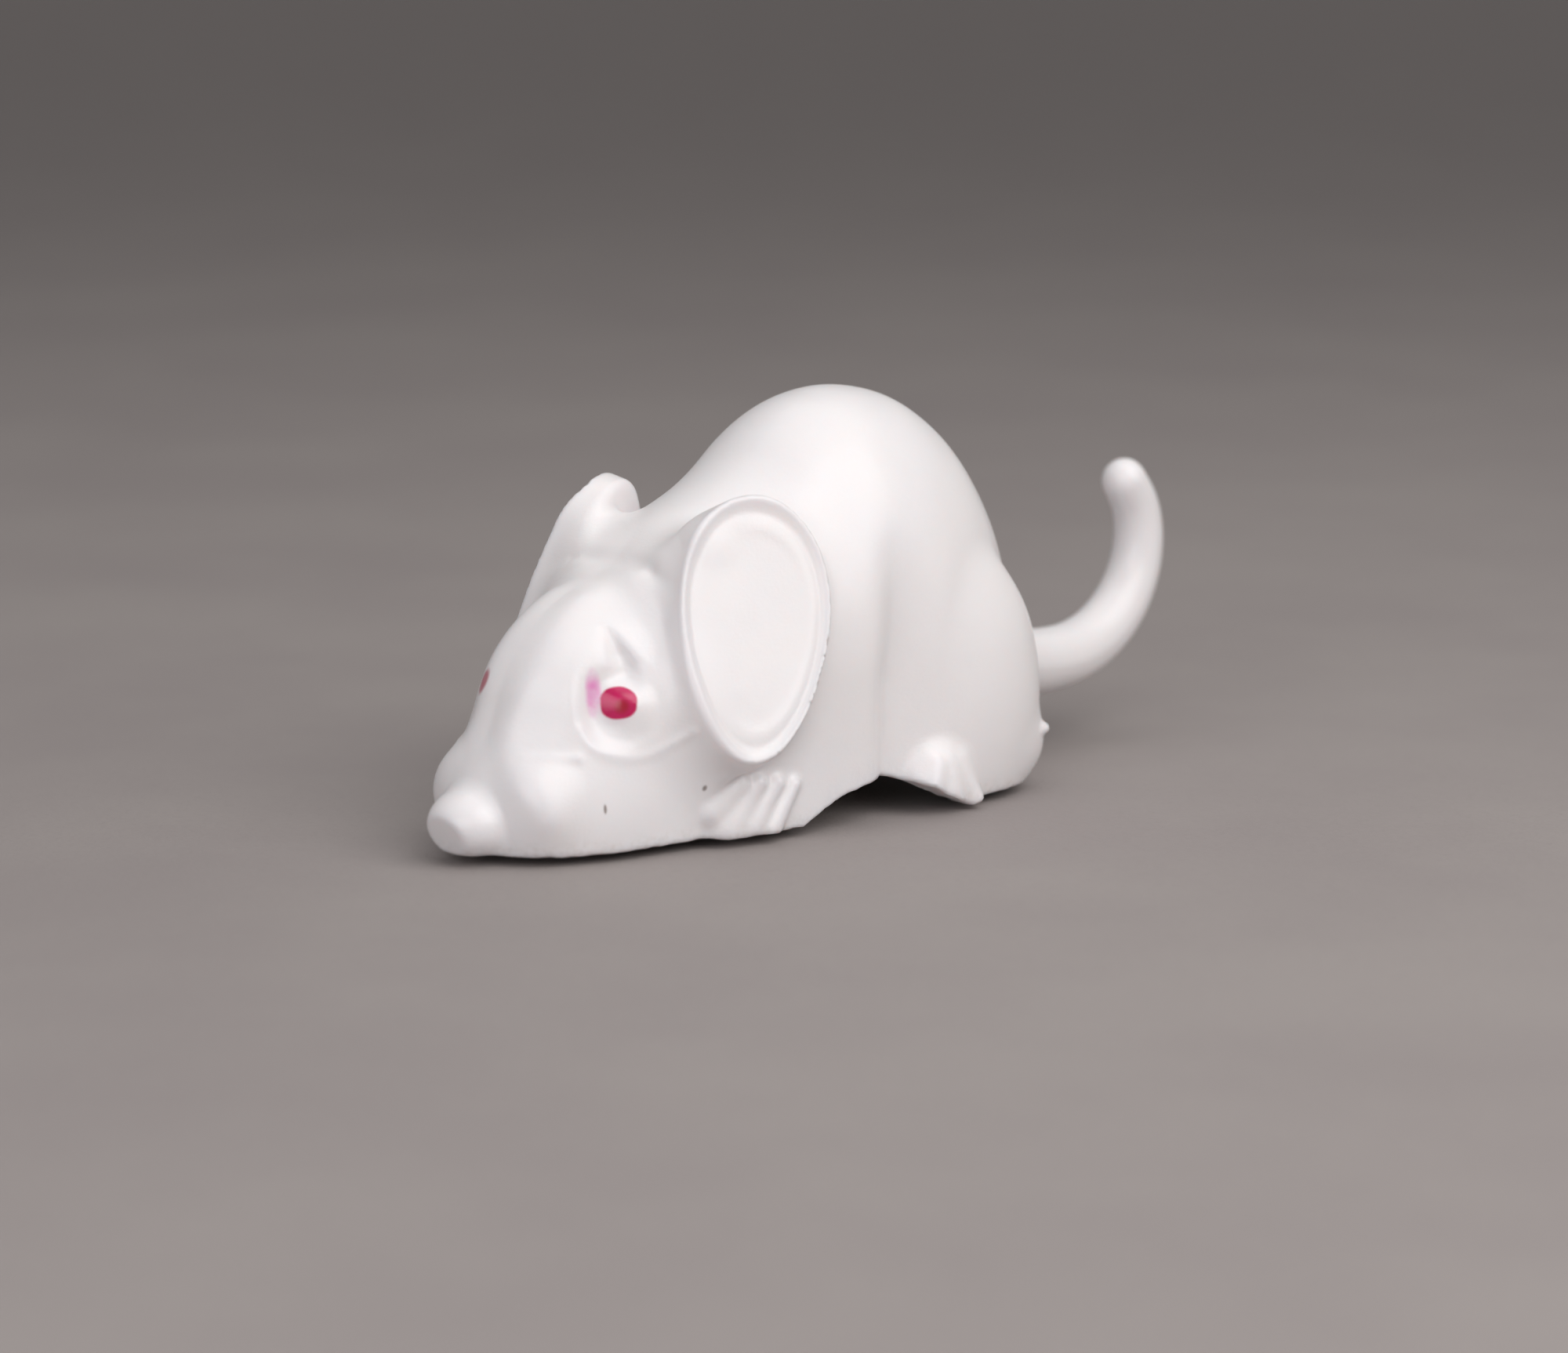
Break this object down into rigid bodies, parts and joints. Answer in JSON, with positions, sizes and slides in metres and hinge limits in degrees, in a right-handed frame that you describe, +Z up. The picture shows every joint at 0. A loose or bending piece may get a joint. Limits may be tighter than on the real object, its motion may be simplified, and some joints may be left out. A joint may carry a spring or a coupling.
{
  "type": "clockwork mouse",
  "caption": "Clockwork toy mouse: hollow moulded body and tail over a flat base, with a spring motor, side winding key and running wheels.",
  "frame": {"origin": "middle of the base plate's flat underside, 3.6 mm above the ground the wheels stand on, in the toy's mirror plane", "axes": "+Z up, -Y towards the nose and +Y towards the tail, +X towards the mouse's left side; the winding key leaves the right side along -X"},
  "size_m": [0.036, 0.0847, 0.0347],
  "materials": {
    "white_moulding": "satin to gloss moulded plastic, slightly warm white",
    "base_moulding": "matt moulded plastic",
    "wheel_moulding": "matt black plastic",
    "tyre_rubber": "dull rubber",
    "gear_brass": "stamped and cut brass, lightly dulled",
    "plate_steel": "stamped zinc-plated sheet",
    "turned_steel": "turned bright steel",
    "spring_steel": "blued spring steel",
    "screw_steel": "zinc-plated steel",
    "key_plating": "dull nickel plating"
  },
  "bodies": {
    "chassis": {"body_shell": "white_moulding", "tail": "white_moulding", "base_plate": "base_moulding", "base_screw_front": "screw_steel", "base_screw_left": "screw_steel", "base_screw_right": "screw_steel", "frame_plate_left": "plate_steel", "frame_plate_right": "plate_steel", "frame_pillar_1": "turned_steel", "frame_pillar_2": "turned_steel", "frame_pillar_3": "turned_steel", "frame_pillar_4": "turned_steel", "mainspring": "spring_steel"},
    "great_wheel_set": {"great_wheel": "gear_brass", "click_spring": "spring_steel", "click_rivet": "turned_steel"},
    "key_set": {"winding_arbor": "turned_steel", "ratchet_wheel": "gear_brass", "winding_key": "key_plating", "arbor_clip": "spring_steel"},
    "second_set": {"second_arbor": "turned_steel", "second_pinion": "gear_brass", "second_wheel": "gear_brass"},
    "drive_set": {"drive_axle": "turned_steel", "drive_pinion": "gear_brass", "drive_wheel_left": "wheel_moulding", "drive_wheel_right": "wheel_moulding", "tyre_left": "tyre_rubber", "tyre_right": "tyre_rubber"},
    "front_set": {"front_axle": "turned_steel", "front_wheel_left": "wheel_moulding", "front_wheel_right": "wheel_moulding"}
  },
  "joints": [
    {"name": "great_wheel_spin", "type": "hinge", "parent": "chassis", "child": "great_wheel_set", "pos_m": [0, -0.0003, 0.01366], "axis": [1, 0, 0], "continuous": true},
    {"name": "key_wind", "type": "hinge", "parent": "great_wheel_set", "child": "key_set", "pos_m": [0, -0.0003, 0.01366], "axis": [-1, 0, 0], "range_deg": [0, 2250], "deforming": ["mainspring", "click_spring"]},
    {"name": "second_wheel_spin", "type": "hinge", "parent": "chassis", "child": "second_set", "pos_m": [0, 0.0113, 0.01059], "axis": [1, 0, 0], "continuous": true},
    {"name": "drive_axle_spin", "type": "hinge", "parent": "chassis", "child": "drive_set", "pos_m": [0, 0.0117, 0.0016], "axis": [1, 0, 0], "continuous": true},
    {"name": "front_axle_spin", "type": "hinge", "parent": "chassis", "child": "front_set", "pos_m": [0, -0.014, -0.0002], "axis": [1, 0, 0], "continuous": true}
  ],
  "couplings": [
    {"joint": "second_wheel_spin", "follows": "great_wheel_spin", "ratio": -3},
    {"joint": "drive_axle_spin", "follows": "great_wheel_spin", "ratio": 6}
  ]
}
